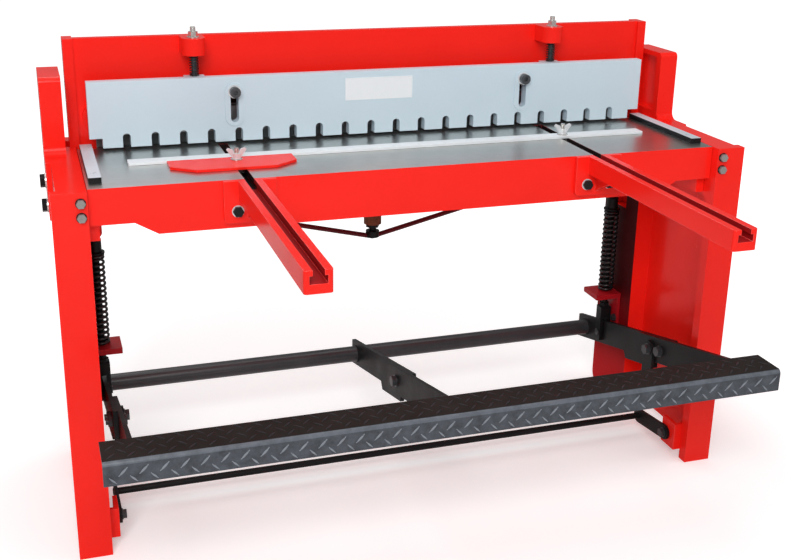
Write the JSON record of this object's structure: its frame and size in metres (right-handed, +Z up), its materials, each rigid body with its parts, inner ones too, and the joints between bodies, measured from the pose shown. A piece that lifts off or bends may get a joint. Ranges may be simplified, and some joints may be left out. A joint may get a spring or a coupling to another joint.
{
  "type": "guillotine shear",
  "caption": "Foot-operated guillotine shear for sheet metal: red cast frame, slotted table and arms, notched hold-down and blade on a sprung ram, wide black treadle.",
  "frame": {"origin": "on the floor, at the middle of the machine's length and depth", "axes": "X along the cut, +Y from the operator to the rear, +Z up"},
  "size_m": [1.5842, 1.09, 1.082],
  "materials": {
    "red_paint": "gloss enamel on castings",
    "grey_paint": "semi-gloss enamel",
    "ground_steel": "ground bare steel",
    "bronze": "machined",
    "zinc": "zinc plated",
    "black_steel": "black enamel",
    "spring_steel": "black oxide",
    "dark_fasteners": "oiled black oxide"
  },
  "bodies": {
    "frame": {"left_side_frame": "red_paint", "right_side_frame": "red_paint", "work_table": "red_paint", "table_apron": "red_paint", "table_ribs": "red_paint", "table_beam": "red_paint", "table_post_bolts": "dark_fasteners", "table_side_bolts": "dark_fasteners", "lower_blade": "ground_steel", "lower_blade_screws": "dark_fasteners", "left_side_gauge": "ground_steel", "right_side_gauge": "ground_steel", "side_gauge_screws": "dark_fasteners", "left_support_arm": "red_paint", "right_support_arm": "red_paint", "support_arm_bolts": "dark_fasteners", "guide_gibs": "bronze", "gib_screws": "dark_fasteners", "left_spring_bracket": "red_paint", "right_spring_bracket": "red_paint", "spring_bracket_bolts": "dark_fasteners", "pivot_blocks": "black_steel", "pivot_block_bolts": "dark_fasteners", "stretcher_brackets": "red_paint", "stretcher_bracket_bolts": "dark_fasteners", "stretcher_links": "black_steel", "stretcher_link_bolts": "dark_fasteners", "stretcher_bar": "black_steel", "left_return_spring": "spring_steel", "right_return_spring": "spring_steel"},
    "ram_body": {"ram": "red_paint", "ram_flange": "red_paint", "ram_ribs": "red_paint", "left_ram_slide": "red_paint", "right_ram_slide": "red_paint", "ram_slide_bolts": "dark_fasteners", "upper_blade": "ground_steel", "upper_blade_screws": "dark_fasteners", "truss_rod": "black_steel", "truss_screw": "black_steel", "hold_down_guide_screws": "dark_fasteners", "tie_rods": "black_steel", "spring_collars": "black_steel", "clevises": "black_steel", "clevis_pins": "zinc", "left_hold_down_spring": "spring_steel", "right_hold_down_spring": "spring_steel"},
    "hold_down": {"hold_down_plate": "grey_paint", "hold_down_bolts": "zinc"},
    "treadle": {"treadle_shaft": "black_steel", "rear_treadle_arms": "black_steel", "front_treadle_arms": "black_steel", "joint_plates": "black_steel", "arm_joint_bolts": "dark_fasteners", "foot_board": "black_steel"},
    "front_gauge": {"front_gauge_bar": "ground_steel", "stop_plate": "red_paint", "gauge_t_bolts": "zinc"},
    "left_wing": {"wing_nut_left": "zinc"},
    "right_wing": {"wing_nut_right": "zinc"}
  },
  "joints": [
    {"name": "treadle_pivot", "type": "hinge", "parent": "frame", "child": "treadle", "pos_m": [0, 0.5, 0.175], "axis": [1, 0, 0], "range_deg": [0, 20], "stiffness_Nm_per_rad": 400, "springref_deg": -45.84},
    {"name": "ram_slide", "type": "slide", "parent": "frame", "child": "ram_body", "axis": [0, 0, 1], "range_m": [-0.0305, 0], "deforming": ["left_return_spring", "right_return_spring"]},
    {"name": "hold_down_slide", "type": "slide", "parent": "ram_body", "child": "hold_down", "axis": [0, 0, 1], "range_m": [0, 0.0237], "deforming": ["left_hold_down_spring", "right_hold_down_spring"]},
    {"name": "gauge_slide", "type": "slide", "parent": "frame", "child": "front_gauge", "axis": [0, 1, 0], "range_m": [-0.64, 0.1]},
    {"name": "left_wing_turn", "type": "hinge", "parent": "front_gauge", "child": "left_wing", "pos_m": [-0.385, 0.16, 0.831], "axis": [0, 0, 1], "continuous": true},
    {"name": "right_wing_turn", "type": "hinge", "parent": "front_gauge", "child": "right_wing", "pos_m": [0.408, 0.201, 0.831], "axis": [0, 0, 1], "continuous": true}
  ],
  "couplings": [
    {"joint": "ram_slide", "follows": "treadle_pivot", "m_per_rad": -0.0854},
    {"joint": "hold_down_slide", "follows": "treadle_pivot", "m_per_rad": 0.0665}
  ]
}
